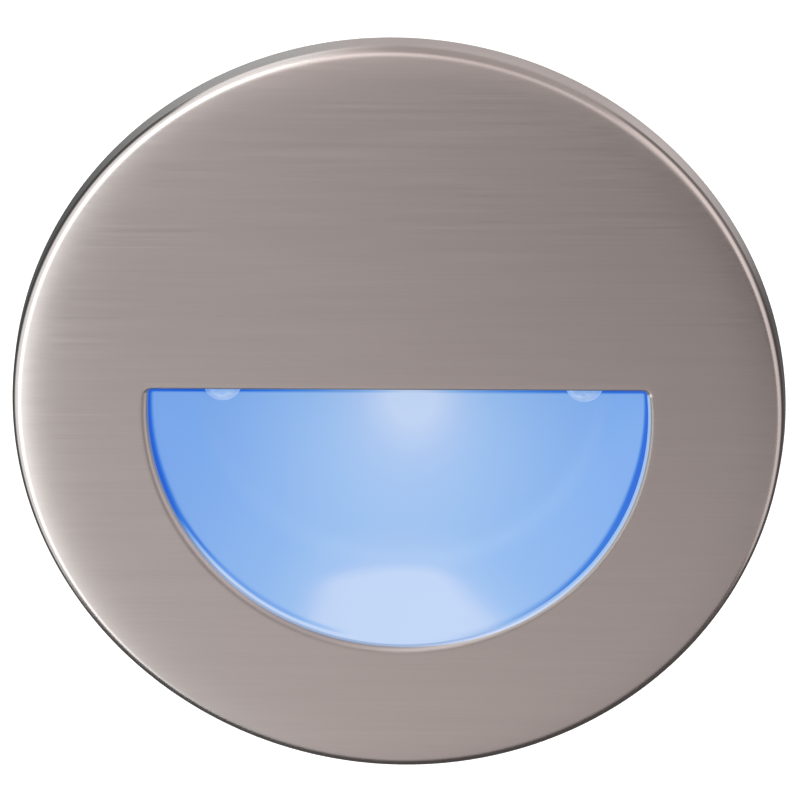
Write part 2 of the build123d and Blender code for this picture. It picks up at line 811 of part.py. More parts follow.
def can_capacitor(radius, height):
    """Capacitor along Z, with a rolled groove above its base and a rounded top edge."""
    with BuildPart(mode=Mode.PRIVATE) as capacitor:
        Cylinder(radius, height, align=(Align.CENTER, Align.CENTER, Align.MIN))
        fillet(capacitor.edges().sort_by(Axis.Z)[-1], capacitor_edge)
        with Locations((0, 0, 2 * capacitor_edge)):
            Torus(radius, capacitor_edge, mode=Mode.SUBTRACT)
    return capacitor.part


with BuildPart() as mains_capacitor:
    with Locations(toward_room(mains_capacitor_x, driver_front_y, driver_centre_z + mains_capacitor_z)):
        add(can_capacitor(mains_capacitor_radius, mains_capacitor_height))
save(mains_capacitor, "mains_capacitor")

with BuildPart() as lamp_capacitor:
    with Locations(toward_room(lamp_lead_x, driver_front_y, driver_centre_z + lamp_capacitor_z)):
        add(can_capacitor(lamp_capacitor_radius, lamp_capacitor_height))
save(lamp_capacitor, "lamp_capacitor")

with BuildPart() as bridge_rectifier:
    with BuildSketch(facing_room(driver_front_y)):
        with Locations((rectifier_x, driver_centre_z + rectifier_z)):
            Rectangle(rectifier_length, rectifier_width)
    extrude(amount=rectifier_height)
    chamfer(bridge_rectifier.faces().sort_by(Axis.Y)[0].edges(), part_chamfer)
save(bridge_rectifier, "bridge_rectifier")

with BuildPart() as driver_chip:
    with BuildSketch(facing_room(driver_front_y)):
        with Locations((lamp_lead_x, driver_centre_z + chip_z)):
            Rectangle(chip_length, chip_width)
    extrude(amount=chip_height)
    chamfer(driver_chip.faces().sort_by(Axis.Y)[0].edges(), part_chamfer)
save(driver_chip, "driver_chip")

with BuildPart() as fuse:
    with BuildSketch(Plane.YZ.offset(mains_plug_x - fuse_length / 2)):
        with Locations((driver_front_y - fuse_radius, driver_centre_z + fuse_z)):
            Circle(fuse_radius)
    extrude(amount=fuse_length)
    chamfer(fuse.edges(), part_chamfer)
save(fuse, "fuse")


def board_plug(centre_x, lead_places_x, bore_radius):
    """Socket on the driver board whose leads enter from above, with a bore for each lead."""
    with BuildPart(mode=Mode.PRIVATE) as plug:
        with BuildSketch(facing_room(driver_front_y)):
            with Locations((centre_x, plug_centre_z)):
                RectangleRounded(plug_width, plug_height, moulded_rounding)
        extrude(amount=plug_depth)
        with BuildSketch(Plane.XY.offset(plug_top_z)):
            with Locations(*[(x, plug_lead_y) for x in lead_places_x]):
                Circle(bore_radius)
        extrude(amount=-plug_height * lead_depth_share, mode=Mode.SUBTRACT)
    return plug.part


mains_plug_leads_x = [mains_plug_x + side * plug_pitch / 2 for side in (-1, 1)]
with BuildPart() as mains_plug:
    add(board_plug(mains_plug_x, mains_plug_leads_x, lead_radius + thread_clearance))
save(mains_plug, "mains_plug")

with BuildPart() as driver_lamp_plug:
    add(board_plug(lamp_lead_x, lamp_lead_points_x, lamp_lead_radius + thread_clearance))
save(driver_lamp_plug, "driver_lamp_plug")

# ---------------------------------------------------------------- mains terminals and earth point

clamp_places = [(x, block_centre_z + side * clamp_screw_offset) for x in pole_x for side in (-1, 1)]

with BuildPart() as terminal_block:
    with BuildSketch(facing_room(block_rear_y)):
        with Locations((block_centre_x, block_centre_z)):
            RectangleRounded(block_length, block_height, moulded_rounding)
    extrude(amount=block_depth)
    with BuildSketch(Plane.XY.offset(block_centre_z)):
        with Locations(*[(x, sleeve_y) for x in pole_x]):
            Circle(sleeve_radius + thread_clearance)
    extrude(amount=block_height / 2, both=True, mode=Mode.SUBTRACT)
    with BuildSketch(facing_room(sleeve_y)):
        with Locations(*clamp_places):
            Circle(clamp_screw_radius + hole_clearance)
    extrude(amount=block_depth / 2, mode=Mode.SUBTRACT)
    with BuildSketch(facing_room(block_front_y + block_well_depth)):
        with Locations(*[(x, block_centre_z) for x in block_screw_x]):
            Circle(block_head_radius + hole_clearance)
    extrude(amount=block_well_depth, mode=Mode.SUBTRACT)
    with BuildSketch(facing_room(block_rear_y)):
        with Locations(*[(x, block_centre_z) for x in block_screw_x]):
            Circle(block_screw_radius + hole_clearance)
    extrude(amount=block_depth - block_well_depth, mode=Mode.SUBTRACT)
save(terminal_block, "terminal_block")

with BuildPart() as terminal_sleeves:
    with BuildSketch(Plane.XY.offset(block_centre_z)):
        with Locations(*[(x, sleeve_y) for x in pole_x]):
            Circle(sleeve_radius)
            Circle(sleeve_bore, mode=Mode.SUBTRACT)
    extrude(amount=sleeve_length / 2, both=True)
    with BuildSketch(facing_room(sleeve_y)):
        with Locations(*clamp_places):
            Circle(clamp_screw_radius + thread_clearance)
    extrude(amount=block_depth / 2, mode=Mode.SUBTRACT)
save(terminal_sleeves, "terminal_sleeves")

with BuildPart() as clamp_screws:
    with BuildSketch(facing_room(sleeve_y - lead_radius - thread_clearance)):
        with Locations(*clamp_places):
            Circle(clamp_screw_radius)
    extrude(amount=sleeve_y - lead_radius - thread_clearance - clamp_front_y)
    with BuildSketch(facing_room(clamp_front_y)):
        with Locations(*clamp_places):
            Rectangle(2 * clamp_screw_radius, recess_width)
    extrude(amount=-slot_depth, mode=Mode.SUBTRACT)
save(clamp_screws, "clamp_screws")

with BuildPart() as terminal_block_screws:
    with Locations(
        *[toward_room(x, block_front_y + block_well_depth, block_centre_z) for x in block_screw_x]
    ):
        add(pan_screw(block_screw_radius, block_screw_length, block_head_radius, block_head_height))
save(terminal_block_screws, "terminal_block_screws")

with BuildPart() as earth_tag:
    with BuildSketch(facing_room(earth_tag_rear_y)):
        with Locations((earth_x, earth_z)):
            Circle(earth_tag_radius)
            Rectangle(
                2 * lead_radius,
                earth_barrel_bottom + earth_tag_overlap - earth_z,
                align=(Align.CENTER, Align.MIN),
            )
        with Locations((earth_x, earth_z)):
            Circle(earth_screw_radius + hole_clearance, mode=Mode.SUBTRACT)
    extrude(amount=earth_tag_thickness)
    with BuildSketch(Plane.XY.offset(earth_barrel_bottom)):
        with Locations((earth_x, sleeve_y)):
            Circle(lead_radius + thread_clearance + earth_barrel_wall)
    extrude(amount=earth_barrel_length)
    with BuildSketch(Plane.XY.offset(earth_barrel_top)):
        with Locations((earth_x, sleeve_y)):
            Circle(lead_radius + thread_clearance)
    extrude(amount=earth_tag_overlap - earth_barrel_length, mode=Mode.SUBTRACT)
save(earth_tag, "earth_tag")

with BuildPart() as earth_screw:
    with Locations(toward_room(earth_x, earth_tag_front_y, earth_z)):
        add(pan_screw(earth_screw_radius, earth_screw_length, earth_head_radius, earth_head_height))
save(earth_screw, "earth_screw")

# ---------------------------------------------------------------- leads inside the can


def lead(points, radius, bend_radius):
    """Round lead along straight runs that are joined by tangent arcs."""
    with BuildPart(mode=Mode.PRIVATE) as wire:
        with BuildLine() as route:
            FilletPolyline(*points, radius=bend_radius)
        with BuildSketch(Plane(origin=route.line @ 0, z_dir=route.line % 0)):
            Circle(radius)
        sweep(path=route.line)
    return wire.part


mains_lead_names = ["live_lead", "neutral_lead"]
for name, start_x, end_x in zip(mains_lead_names, pole_x, mains_plug_leads_x):
    with BuildPart() as mains_lead:
        add(
            lead(
                [
                    (start_x, sleeve_y, sleeve_bottom_z + lead_in_terminal),
                    (start_x, sleeve_y, block_centre_z - block_height),
                    (end_x, plug_lead_y, plug_top_z + plug_height),
                    (end_x, plug_lead_y, plug_centre_z),
                ],
                lead_radius,
                lead_bend_radius,
            )
        )
    save(mains_lead, name)

with BuildPart() as earth_lead:
    add(
        lead(
            [
                (pole_x[-1], sleeve_y, sleeve_bottom_z + lead_in_terminal),
                (pole_x[-1], sleeve_y, earth_barrel_top + lead_bend_radius + earth_tag_overlap),
                (earth_x, sleeve_y, earth_barrel_top + lead_bend_radius + earth_tag_overlap),
                (earth_x, sleeve_y, earth_barrel_bottom + earth_tag_overlap),
            ],
            lead_radius,
            lead_bend_radius,
        )
    )
save(earth_lead, "earth_lead")

lamp_lead_names = ["lamp_lead_black", "lamp_lead_red"]
for name, lead_x in zip(lamp_lead_names, lamp_lead_points_x):
    with BuildPart() as lamp_lead:
        add(
            lead(
                [
                    (lead_x, lamp_plug_y, lamp_lead_z),
                    (lead_x, plug_lead_y, lamp_lead_z),
                    (lead_x, plug_lead_y, plug_centre_z),
                ],
                lamp_lead_radius,
                lamp_lead_bend_radius,
            )
        )
    save(lamp_lead, name)

# ---------------------------------------------------------------- cable gland

with BuildPart() as gland_washer:
    with BuildSketch(facing_room(gland_washer_rear_y)):
        with Locations((gland_x, gland_z)):
            Circle(gland_flats / 2)
            Circle(gland_thread_radius + thread_clearance, mode=Mode.SUBTRACT)
    extrude(amount=gland_washer_thickness)
save(gland_washer, "gland_washer")

with BuildPart() as gland_body:
    with BuildSketch(facing_room(gland_outer_end_y)):
        with Locations((gland_x, gland_z)):
            Circle(gland_thread_radius)
    extrude(amount=gland_outer_end_y - gland_inner_end_y)
    with BuildSketch(facing_room(gland_collar_rear_y)):
        with Locations((gland_x, gland_z)):
            RegularPolygon(gland_flats / 2, 6, major_radius=False)
    extrude(amount=gland_collar)
    with BuildSketch(facing_room(gland_outer_end_y)):
        with Locations((gland_x, gland_z)):
            Circle(gland_bore_radius)
    extrude(amount=gland_outer_end_y - gland_inner_end_y, mode=Mode.SUBTRACT)
save(gland_body, "gland_body")

with BuildPart() as gland_seal:
    with BuildSketch(facing_room(gland_outer_end_y)):
        with Locations((gland_x, gland_z)):
            Circle(gland_bore_radius - thread_clearance)
            Circle(cable_radius, mode=Mode.SUBTRACT)
    extrude(amount=gland_thread_outside)
save(gland_seal, "gland_seal")

with BuildPart() as gland_cap:
    with BuildSketch(facing_room(gland_cap_rear_y)):
        with Locations((gland_x, gland_z)):
            RegularPolygon(gland_flats / 2, 6, major_radius=False)
    extrude(amount=gland_cap_length - fit_clearance)
    fillet(gland_cap.faces().sort_by(Axis.Y)[-1].edges(), gland_cap_rounding)
    with BuildSketch(facing_room(gland_outer_end_y)):
        with Locations((gland_x, gland_z)):
            Circle(gland_thread_radius + thread_clearance)
    extrude(amount=gland_thread_outside, mode=Mode.SUBTRACT)
    with BuildSketch(facing_room(gland_cap_rear_y)):
        with Locations((gland_x, gland_z)):
            Circle(gland_cap_opening)
    extrude(amount=gland_cap_length, mode=Mode.SUBTRACT)
save(gland_cap, "gland_cap")

with BuildPart() as gland_locknut:
    with BuildSketch(facing_room(can_back_y)):
        with Locations((gland_x, gland_z)):
            RegularPolygon(gland_flats / 2, 6, major_radius=False)
            Circle(gland_thread_radius + thread_clearance, mode=Mode.SUBTRACT)
    extrude(amount=gland_locknut_thickness)
save(gland_locknut, "gland_locknut")
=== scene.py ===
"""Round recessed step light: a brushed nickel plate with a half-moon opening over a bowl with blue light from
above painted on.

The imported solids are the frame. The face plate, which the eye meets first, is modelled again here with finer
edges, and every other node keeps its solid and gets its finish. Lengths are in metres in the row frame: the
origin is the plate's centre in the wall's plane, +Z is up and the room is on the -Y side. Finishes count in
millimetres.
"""

import json
from math import atan2, cos, pi, radians, sin, sqrt

import bpy
from mathutils import Matrix, Vector


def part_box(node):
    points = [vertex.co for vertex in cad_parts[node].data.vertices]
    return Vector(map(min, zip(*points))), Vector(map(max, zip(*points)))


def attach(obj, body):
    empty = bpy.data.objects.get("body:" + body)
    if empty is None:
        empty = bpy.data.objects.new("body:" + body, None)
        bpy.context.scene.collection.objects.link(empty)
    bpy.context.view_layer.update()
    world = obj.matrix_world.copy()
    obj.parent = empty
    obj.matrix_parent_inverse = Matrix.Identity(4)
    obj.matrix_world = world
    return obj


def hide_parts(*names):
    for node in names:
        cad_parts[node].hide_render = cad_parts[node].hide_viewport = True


MM = 0.001

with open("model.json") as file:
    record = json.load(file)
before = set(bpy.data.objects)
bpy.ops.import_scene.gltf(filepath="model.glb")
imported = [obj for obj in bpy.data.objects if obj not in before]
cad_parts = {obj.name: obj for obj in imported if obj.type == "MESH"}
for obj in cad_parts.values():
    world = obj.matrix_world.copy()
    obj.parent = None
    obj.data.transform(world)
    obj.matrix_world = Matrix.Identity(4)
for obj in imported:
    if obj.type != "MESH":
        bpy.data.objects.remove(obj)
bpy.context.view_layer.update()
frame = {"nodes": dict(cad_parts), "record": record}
NODES = frame["nodes"]

# ---------------------------------------------------------------- sizes of the face plate

PLATE_LOW, PLATE_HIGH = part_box("face_plate")
PLATE_RADIUS = PLATE_HIGH.x
FACE_Y = PLATE_LOW.y
RIM_REAR_Y = PLATE_HIGH.y
SKIN = 1.3 * MM
DRAFT = 0.1 * MM
EDGE_RADIUS = 1.6 * MM
OPENING_RADIUS = 41.1 * MM
OPENING_DROP = 0.8 * MM  # the opening's arc is centred this far below the plate's centre
OPENING_TOP = 3.5 * MM
OPENING_CORNER = 0.8 * MM
LIP_RADIUS = 1.2 * MM
LIP_CUT = 0.65  # share by which the lip is finer along the straight edge
MARGIN = 0.3 * MM  # of the flat strip beside the lip
CROWN = 0.3 * MM  # the face falls away by this much towards its edge
CROWN_START = 44.0 * MM
CROWN_POWER = 6.0
FLAT_END = PLATE_RADIUS - DRAFT - EDGE_RADIUS

# ---------------------------------------------------------------- finishes: values and nodes


class Value:
    """A socket that carries a number. Sums on it add Math nodes to its finish."""

    def __init__(self, finish, socket):
        self.finish = finish
        self.socket = socket

    def math(self, operation, *values):
        """One Math node on these values."""
        node = self.finish.node("ShaderNodeMath", {"operation": operation}, dict(enumerate(values)))
        return Value(self.finish, node.outputs[0])

    def __add__(self, other):
        return self.math("ADD", self, other)

    def __radd__(self, other):
        return self.math("ADD", other, self)

    def __sub__(self, other):
        return self.math("SUBTRACT", self, other)

    def __rsub__(self, other):
        return self.math("SUBTRACT", other, self)

    def __mul__(self, other):
        return self.math("MULTIPLY", self, other)

    def __rmul__(self, other):
        return self.math("MULTIPLY", other, self)

    def __truediv__(self, other):
        return self.math("DIVIDE", self, other)

    def __pow__(self, other):
        return self.math("POWER", self, other)

    def size(self):
        """The value without its sign."""
        return self.math("ABSOLUTE", self)

    def root(self):
        """Square root."""
        return self.math("SQRT", self)

    def wave(self, length):
        """Sine wave from -1 to 1 that repeats after this length."""
        return self.math("SINE", self * (2 * pi / length))

    def most(self, other):
        """The larger of the two."""
        return self.math("MAXIMUM", self, other)

    def step(self, start, end):
        """Runs smoothly from 0 at start to 1 at end."""
        node = self.finish.node(
            "ShaderNodeMapRange",
            {"interpolation_type": "SMOOTHSTEP"},
            {"Value": self, "From Min": start, "From Max": end},
        )
        return Value(self.finish, node.outputs["Result"])

    def bell(self, centre, width):
        """1 at centre, falling to 0.37 at width to either side."""
        return self.math("EXPONENT", ((self - centre) / width) ** 2 * -1)


class Nodes:
    """A node tree and the one way its nodes are made."""

    def __init__(self, tree):
        self.tree = tree
        tree.nodes.clear()

    def node(self, kind, settings=None, sockets=None):
        """A node of that kind, its settings set first, then its sockets' values or links."""
        made = self.tree.nodes.new(kind)
        for name, setting in (settings or {}).items():
            if name == "stops":
                for stop in range(2, len(setting)):
                    made.color_ramp.elements.new(stop / len(setting))
                for element, (position, colour) in zip(made.color_ramp.elements, setting):
                    element.position = position
                    element.color = (*colour, 1)
            else:
                setattr(made, name, setting)
        for name, value in (sockets or {}).items():
            source = getattr(value, "socket", value)
            if isinstance(source, bpy.types.NodeSocket):
                self.tree.links.new(source, made.inputs[name])
            elif made.inputs[name].type == "RGBA":
                made.inputs[name].default_value = (*source, 1)
            else:
                made.inputs[name].default_value = source
        return made

    def ray_seen(self):
        """1 for the rays that show the background: straight, mirrored or through glass."""
        rays = self.node("ShaderNodeLightPath")
        kinds = [Value(self, rays.outputs[f"Is {kind} Ray"]) for kind in ("Camera", "Glossy", "Transmission")]
        return kinds[0].most(kinds[1]).most(kinds[2])


class Finish(Nodes):
    """One material. x, y and z are the point's place in millimetres."""

    def __init__(self, name):
        self.material = bpy.data.materials.new(name)
        self.material.use_nodes = True
        super().__init__(self.material.node_tree)
        object_place = self.node("ShaderNodeTexCoord").outputs["Object"]
        scaled = self.node("ShaderNodeVectorMath", {"operation": "SCALE"}, {0: object_place, "Scale": 1 / MM})
        self.place = scaled.outputs[0]
        parts = self.node("ShaderNodeSeparateXYZ", {}, {0: self.place})
        self.x, self.y, self.z = (Value(self, socket) for socket in parts.outputs)

    def noise(self, size, stretch=(1, 1, 1), detail=3.0):
        """Noise from 0 to 1 with lumps of this size in millimetres, times its stretch along each axis."""
        per_lump = Vector([1 / (size * s) for s in stretch])
        squeezed = self.node("ShaderNodeVectorMath", {"operation": "MULTIPLY"}, {0: self.place, 1: per_lump})
        made = self.node("ShaderNodeTexNoise", {}, {0: squeezed.outputs[0], "Scale": 1.0, "Detail": detail})
        return Value(self, made.outputs["Fac"])

    def cells(self, size):
        """Distance from the centre of each cell of this size, in cells."""
        made = self.node("ShaderNodeTexVoronoi", {}, {"Vector": self.place, "Scale": 1 / size})
        return Value(self, made.outputs["Distance"])

    def mix(self, share, first, second):
        """Colour that goes from first at 0 to second at 1."""
        made = self.node("ShaderNodeMix", {"data_type": "RGBA"}, {0: share, 6: first, 7: second})
        return made.outputs[2]

    def ramp(self, value, stops):
        """Colour from a ramp of stops, each a place from 0 to 1 and a colour."""
        return self.node("ShaderNodeValToRGB", {"stops": stops}, {0: value}).outputs[0]

    def past_opening(self):
        """How far the point lies outside the opening's arc, seen from the front. It is below 0 inside."""
        return (self.x * self.x + (self.z + OPENING_DROP / MM) ** 2.0).root() - OPENING_RADIUS / MM

    def shade(self, colour, amount):
        """The colour made lighter or darker by the amount, where 1 keeps it."""
        made = self.node("ShaderNodeVectorMath", {"operation": "SCALE"}, {0: colour, "Scale": amount})
        return made.outputs[0]

    def relief(self, height, depth):
        """Normal of a surface that stands out by height times depth, in millimetres."""
        made = self.node("ShaderNodeBump", {}, {"Height": height, "Distance": depth * MM, "Strength": 1.0})
        return made.outputs[0]

    def surface(self, **sockets):
        """Principled surface from its sockets, with _ for a space, and the finished material."""
        named = {name.replace("_", " "): value for name, value in sockets.items()}
        shader = self.node("ShaderNodeBsdfPrincipled", {}, named)
        self.node("ShaderNodeOutputMaterial", {}, {"Surface": shader.outputs[0]})
        return self.material


def paint(red, green, blue):
    """Linear colour from the 0 to 255 steps of a screen colour."""
    linear = []
    for step in (red, green, blue):
        share = step / 255
        linear.append(share / 12.92 if step < 11 else ((share + 0.055) / 1.055) ** 2.4)
    return tuple(linear)


# ---------------------------------------------------------------- finishes: shared kinds


def moulded(name, colour, roughness, sockets=None):
    """Moulded plastic: a faint spark-eroded grain and slightly uneven gloss."""
    finish = Finish(name)
    grain = finish.noise(0.25)
    patches = finish.noise(9.0)
    return finish.surface(
        Base_Color=finish.shade(colour, 0.94 + 0.12 * patches),
        Roughness=roughness - 0.06 + 0.12 * grain,
        Normal=finish.relief(grain, 0.01),
        **(sockets or {}),
    )


def insulation(name, colour):
    """Lead insulation: extruded, with soft lengthwise unevenness."""
    finish = Finish(name)
    bands = finish.noise(1.6)
    return finish.surface(
        Base_Color=finish.shade(colour, 0.88 + 0.24 * bands),
        Roughness=0.38 + 0.1 * bands,
        Normal=finish.relief(bands, 0.02),
    )


def plated(name, colour, roughness, scuffs):
    """Plated steel: fine scuffs in the gloss and a slightly cloudy colour."""
    finish = Finish(name)
    clouds = finish.noise(1.5)
    scratches = finish.noise(0.12, stretch=(8, 1, 1))
    return finish.surface(
        Base_Color=finish.shade(colour, 0.9 + 0.2 * clouds),
        Metallic=1.0,
        Roughness=roughness + scuffs * scratches,
        Normal=finish.relief(scratches, 0.003),
    )


# ---------------------------------------------------------------- finishes: one for each slot

NICKEL = (0.375, 0.316, 0.302)
# painted blue light laid on the plate's lip
PAINTED_LIP_BLUE = (0.36, 0.6, 1.0)
BOWL_WHITE = (0.8, 0.8, 0.8)
BOWL_WHITE_LIT = (0.09, 0.1, 0.1)  # white where nearly all its light is painted as emission
DIODE_PITCH = 5.2  # from one diode to the next, in millimetres

# colours of the painted light in the bowl, from the painted shade under the ceiling to the brightest painted
# spot
PAINTED_BOWL_LIGHT = (
    (0.0, paint(0, 92, 222)),
    (0.15, paint(48, 132, 234)),
    (0.3, paint(104, 157, 235)),
    (0.45, paint(120, 170, 238)),
    (0.65, paint(145, 187, 241)),
    (0.8, paint(165, 196, 243)),
    (1.0, paint(193, 213, 248)),
)


def brushed_nickel():
    """Satin nickel, brushed level. Its lip has painted blue light as emission and painted shade in its colour,
    and its rounded edge is smoother.
    """
    finish = Finish("brushed_nickel")
    x, z = finish.x, finish.z
    lines = finish.noise(0.22, stretch=(110, 1, 1), detail=4.0)
    strokes = finish.noise(1.6, stretch=(30, 1, 1), detail=2.0)
    brushing = 0.91 + 0.12 * lines + 0.06 * strokes
    past_rim = (x * x + z * z).root() - PLATE_RADIUS / MM
    rounded = past_rim.step(-1.7, -0.5)
    past_opening = finish.past_opening()
    below_top = (z - OPENING_TOP / MM).step(-0.6, -1.3)
    to_right = x.step(-4.0, 22.0)
    lip = below_top * past_opening.step(1.4, 0.6)
    # painted shade darkens the lip, and painted blue light is laid as emission on its inner edge
    lip_painted_shade = lip * (0.12 + 0.5 * to_right)
    lip_painted_light_band = past_opening.step(0.25 + 0.35 * to_right, 0.05 + 0.3 * to_right)
    lip_painted_light = below_top * lip_painted_light_band * (0.25 + 0.75 * x.step(-38.0, -26.0))
    return finish.surface(
        Base_Color=finish.shade(NICKEL, brushing * (1.0 - lip_painted_shade)),
        Metallic=1.0,
        Roughness=(0.26 + 0.1 * lines) * (1.0 - 0.3 * rounded) * (1.0 + 0.4 * lip),
        Anisotropic=0.55,
        Anisotropic_Rotation=0.25,
        Emission_Color=finish.shade(PAINTED_LIP_BLUE, lip_painted_light * (0.45 + 0.25 * to_right)),
        Emission_Strength=1.0,
    )


def painted_light_screw():
    """Bright pan head with the blue light painted on as emission, in streaks, and a painted glint along the
    head's lower edge.
    """
    finish = Finish("painted_light_screw")
    scuffs = finish.noise(0.6, stretch=(2.5, 1, 1))
    painted_glint = finish.z.step(-2.6, -3.6) * finish.y.step(11.6, 10.6)
    # painted light: streaks that follow the scuffs and a painted glint at the head's lower edge, in the bowl's
    # painted colours
    level = 0.15 + 0.45 * scuffs + 0.45 * painted_glint
    return finish.surface(
        Base_Color=finish.shade((0.2, 0.24, 0.3), 0.8 + 0.4 * scuffs),
        Metallic=0.5,
        Roughness=0.35 + 0.15 * scuffs,
        Emission_Color=finish.ramp(level, PAINTED_BOWL_LIGHT),
        Emission_Strength=0.65,
        Normal=finish.relief(scuffs, 0.02),
    )


def painted_light_bowl():
    """White bowl under the blue diodes, its light painted on its inner faces as the photograph shows it."""
    finish = Finish("painted_light_bowl")
    x, y, z = finish.x, finish.y, finish.z
    past_opening = finish.past_opening()
    grain = finish.noise(0.35)

    # painted light: the spot under the diodes, the wide glow round it, and the patch on the floor with its
    # halo
    low = z.step(-12.0, -38.0)
    painted_hot_spot = x.bell(1.5, 7.5) * z.bell(-3.0, 9.5)
    glow = 0.14 * x.bell(1.0, 19.0) * z.bell(-9.0, 14.0) + 0.1 * x.bell(0.0, 17.0)
    patch_side = (x + 0.7 + 0.25 * y).size() - (14.6 - 0.5 * y)
    painted_floor_patch = patch_side.step(3.2, -3.2) * z.step(-33.4, -35.6)
    painted_halo = patch_side.step(10.0, 0.0) * z.step(-27.0, -34.0)

    # painted shade: the sides, the edges behind the lip, the strip under the ceiling, and a crescent at the
    # lower left beside a painted highlight
    painted_side_shade = (x.size() / 38.0) ** 2.0
    left = x.step(-8.0, -34.0) * (1.0 - low)
    painted_shade_left = (past_opening - 0.5 * low).step(-0.8, 0.0) * x.step(-28.0, -36.0)
    painted_shade_right = (past_opening - 0.75 * low).step(-1.2, -0.5) * x.step(2.0, 30.0)
    below_lamp = z + 0.4 * y
    painted_shade_under_ceiling = below_lamp.step(0.5, 1.05) * (1.0 - 0.85 * below_lamp.step(1.5, 4.5))
    painted_shade = painted_shade_left.most(painted_shade_right).most(painted_shade_under_ceiling)
    crescent = x.step(-8.0, -14.0) * z.step(-19.0, -26.0)
    crescent_painted_shade = crescent * past_opening.bell(-0.2, 0.22)
    crescent_painted_light = crescent * past_opening.step(-0.1, 0.15)

    # painted light level: the painted light above is added and the painted shade taken off
    level = 0.53 + 0.05 * low - 0.13 * painted_side_shade - 0.05 * left + glow
    level = level + 0.34 * painted_hot_spot + 0.26 * painted_floor_patch + 0.09 * painted_halo
    level = level - 0.34 * painted_shade_left - 0.36 * painted_shade_right
    level = level - 0.3 * crescent_painted_shade + 0.55 * crescent_painted_light
    level = level - 0.42 * painted_shade_under_ceiling * (1.0 - 0.75 * x.bell(1.5, 8.0))

    # the bowl narrows towards its back, and its flat back and ceiling are the other bounds of its inner faces
    inside = (past_opening + 0.506 * y).step(-0.2, -0.7) * y.step(12.7, 12.3) * z.step(9.9, 9.4)
    # the white under the painted light, painted darker where the painted shade falls
    lit_white = finish.shade(BOWL_WHITE_LIT, (0.96 + 0.08 * grain) * (1.0 - 0.8 * painted_shade))
    return finish.surface(
        Base_Color=finish.mix(inside, BOWL_WHITE, lit_white),
        Roughness=0.55 + 0.08 * grain,
        Specular_IOR_Level=0.2,
        Emission_Color=finish.shade(finish.ramp(level, PAINTED_BOWL_LIGHT), inside),
        Emission_Strength=0.85,
        Normal=finish.relief(grain, 0.004),
    )


def frosted_window():
    """Frosted window with the blue diodes close behind it."""
    finish = Finish("frosted_window")
    frost = finish.noise(0.3)
    spots = (finish.x + DIODE_PITCH / 4).wave(DIODE_PITCH).step(-1.0, 1.0)
    return finish.surface(
        Base_Color=finish.shade((0.55, 0.68, 0.85), 0.94 + 0.12 * frost),
        Roughness=0.5 + 0.2 * frost,
        Emission_Color=finish.mix(spots, paint(70, 145, 245), paint(190, 218, 255)),
        Emission_Strength=1.0,
        Normal=finish.relief(frost, 0.01),
    )


def diode_silicone():
    """Clear domes over the lit blue diodes."""
    finish = Finish("diode_silicone")
    glow = finish.noise(1.2)
    return finish.surface(
        Base_Color=finish.shade((0.3, 0.5, 0.9), 0.9 + 0.2 * glow),
        Roughness=0.12 + 0.06 * glow,
        Emission_Color=finish.mix(glow, paint(120, 180, 255), paint(215, 232, 255)),
        Emission_Strength=1.2,
    )


def screw_steel():
    """Bright plated screws, turned on top."""
    return plated("screw_steel", (0.6, 0.6, 0.61), 0.18, 0.1)


def stud_steel():
    """Zinc plated studs and nuts."""
    return plated("stud_steel", (0.5, 0.5, 0.51), 0.32, 0.16)


def closed_cell_foam():
    """Black closed-cell foam: pinhole cells on a matt face."""
    finish = Finish("closed_cell_foam")
    cells = finish.cells(0.45)
    patches = finish.noise(4.0)
    return finish.surface(
        Base_Color=finish.shade((0.04, 0.04, 0.042), 0.7 + 0.5 * cells + 0.3 * patches),
        Roughness=0.86 + 0.1 * patches,
        Normal=finish.relief(cells, 0.12),
    )


def seal_rubber():
    """Black seal rubber with a dusty bloom."""
    finish = Finish("seal_rubber")
    bloom = finish.noise(3.0)
    return finish.surface(
        Base_Color=finish.mix(bloom, (0.035, 0.035, 0.036), (0.06, 0.06, 0.062)),
        Roughness=0.55 + 0.2 * bloom,
        Normal=finish.relief(finish.noise(0.2), 0.01),
    )


def white_solder_mask():
    """White solder mask, a little raised over the copper tracks."""
    finish = Finish("white_solder_mask")
    tracks = finish.y.wave(3.2).step(0.1, 0.3)
    return finish.surface(
        Base_Color=finish.mix(tracks, (0.72, 0.73, 0.72), (0.8, 0.81, 0.8)),
        Roughness=0.34 + 0.08 * finish.noise(0.8),
        Normal=finish.relief(tracks, 0.03),
    )


def led_ceramic():
    """White ceramic bodies of the diodes."""
    return moulded("led_ceramic", (0.78, 0.78, 0.75), 0.5)


def thermal_pad():
    """Soft grey-blue thermal pad with glass mesh just under its face."""
    finish = Finish("thermal_pad")
    mesh = finish.x.wave(0.9) * finish.y.wave(0.9)
    return finish.surface(
        Base_Color=finish.shade((0.27, 0.32, 0.39), 0.96 + 0.06 * mesh),
        Roughness=0.7 + 0.05 * mesh,
        Normal=finish.relief(mesh, 0.01),
    )


def extruded_aluminium():
    """Natural aluminium with the long lines of its extrusion."""
    finish = Finish("extruded_aluminium")
    lines = finish.noise(0.3, stretch=(120, 1, 1), detail=4.0)
    return finish.surface(
        Base_Color=finish.shade((0.62, 0.625, 0.63), 0.86 + 0.2 * lines),
        Metallic=1.0,
        Roughness=0.3 + 0.2 * lines,
        Normal=finish.relief(lines, 0.006),
    )


def plug_nylon():
    """Cream nylon plugs."""
    return moulded("plug_nylon", (0.68, 0.66, 0.58), 0.45)


